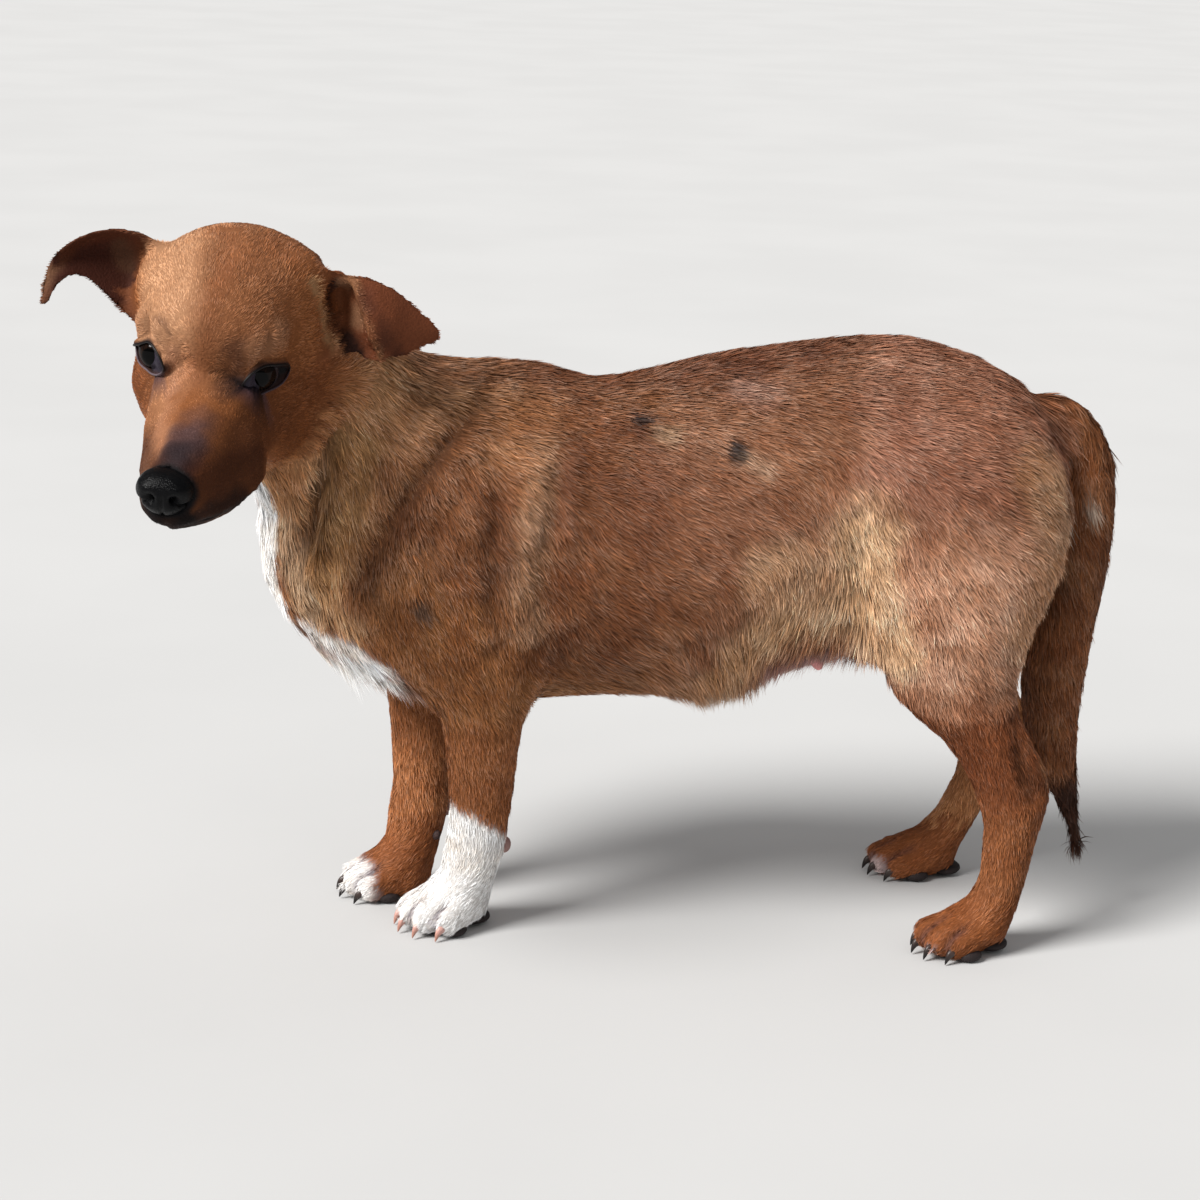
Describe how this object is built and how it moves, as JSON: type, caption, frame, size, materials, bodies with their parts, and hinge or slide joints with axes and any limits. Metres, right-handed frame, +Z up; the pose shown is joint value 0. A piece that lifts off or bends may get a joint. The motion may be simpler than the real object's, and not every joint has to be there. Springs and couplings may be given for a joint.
{
  "type": "dog",
  "caption": "Small short-legged mixed-breed dog standing on four feet, head turned to its left, with short red-brown hair, a white forefoot and a hanging tail.",
  "frame": {"origin": "middle of the bounding box on the floor", "axes": "+Z up; the dog stands along X and its rump is at +X, its head end at -X; its left side is -Y, the side its head is turned to"},
  "size_m": [0.5744, 0.2716, 0.3883],
  "materials": {
    "coat": "short dense red-brown hair, paler on the belly, the neck side and the backs of the thighs",
    "white_coat": "short white hair with pinkish skin showing between the toes",
    "ear_coat": "fine dark red-brown hair, thin and darker inside",
    "nose_leather": "moist pebbled black skin",
    "eye": "wet, very glossy dark brown",
    "claw_horn": "smooth dark horn, pinkish on the white forefoot"
  },
  "bodies": {
    "root": {"ear_left": "ear_coat", "ear_right": "ear_coat", "eye_left": "eye", "eye_right": "eye", "nose": "nose_leather", "head": "coat", "tail": "coat", "neck": "coat", "chest": "coat", "belly": "coat", "rump": "coat", "upper_arm_left": "coat", "forearm_left": "coat", "forepaw_left": "white_coat", "claw_fore_left_1": "claw_horn", "claw_fore_left_2": "claw_horn", "claw_fore_left_3": "claw_horn", "claw_fore_left_4": "claw_horn", "upper_arm_right": "coat", "forearm_right": "coat", "forepaw_right": "coat", "claw_fore_right_1": "claw_horn", "claw_fore_right_2": "claw_horn", "claw_fore_right_3": "claw_horn", "claw_fore_right_4": "claw_horn", "thigh_left": "coat", "shank_left": "coat", "hind_pastern_left": "coat", "hindpaw_left": "coat", "claw_hind_left_1": "claw_horn", "claw_hind_left_2": "claw_horn", "claw_hind_left_3": "claw_horn", "claw_hind_left_4": "claw_horn", "thigh_right": "coat", "shank_right": "coat", "hind_pastern_right": "coat", "hindpaw_right": "coat", "claw_hind_right_1": "claw_horn", "claw_hind_right_2": "claw_horn", "claw_hind_right_3": "claw_horn", "claw_hind_right_4": "claw_horn"}
  },
  "joints": []
}
